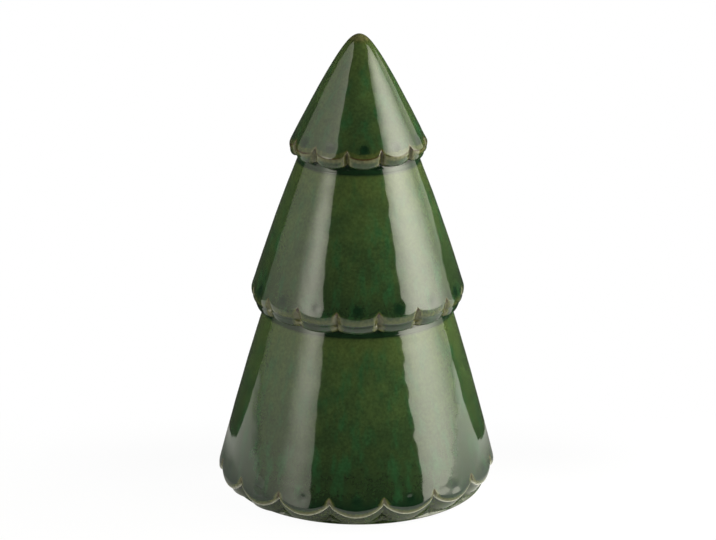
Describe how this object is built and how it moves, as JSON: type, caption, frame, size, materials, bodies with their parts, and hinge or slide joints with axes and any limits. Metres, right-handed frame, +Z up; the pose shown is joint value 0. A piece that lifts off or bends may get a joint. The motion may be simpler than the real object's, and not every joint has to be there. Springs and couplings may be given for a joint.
{
  "type": "decorative fir tree",
  "caption": "Glazed stoneware fir tree of stacked hollow cones with scalloped, dimpled lower edges, open underneath, standing on felt pads under its foot ring.",
  "frame": {"origin": "on the table, under the tip: centre of the circle on which the felt pads stand", "axes": "+Z up along the tree's axis, -Y towards the front, where a petal of the lowest tier is centred"},
  "size_m": [0.1212, 0.1212, 0.2],
  "materials": {
    "green_glaze": "transparent green reactive glaze, gloss, breaking to beige and brown on edges",
    "raw_slip": "fired clay slip, unglazed, matt",
    "felt": "pressed grey wool felt"
  },
  "bodies": {
    "root": {"felt_pad_front_right": "felt", "felt_pad_back_right": "felt", "felt_pad_back_left": "felt", "felt_pad_front_left": "felt", "bottom_tier": "green_glaze", "lower_slip_joint": "raw_slip", "middle_tier": "green_glaze", "upper_slip_joint": "raw_slip", "top_tier": "green_glaze"}
  },
  "joints": []
}
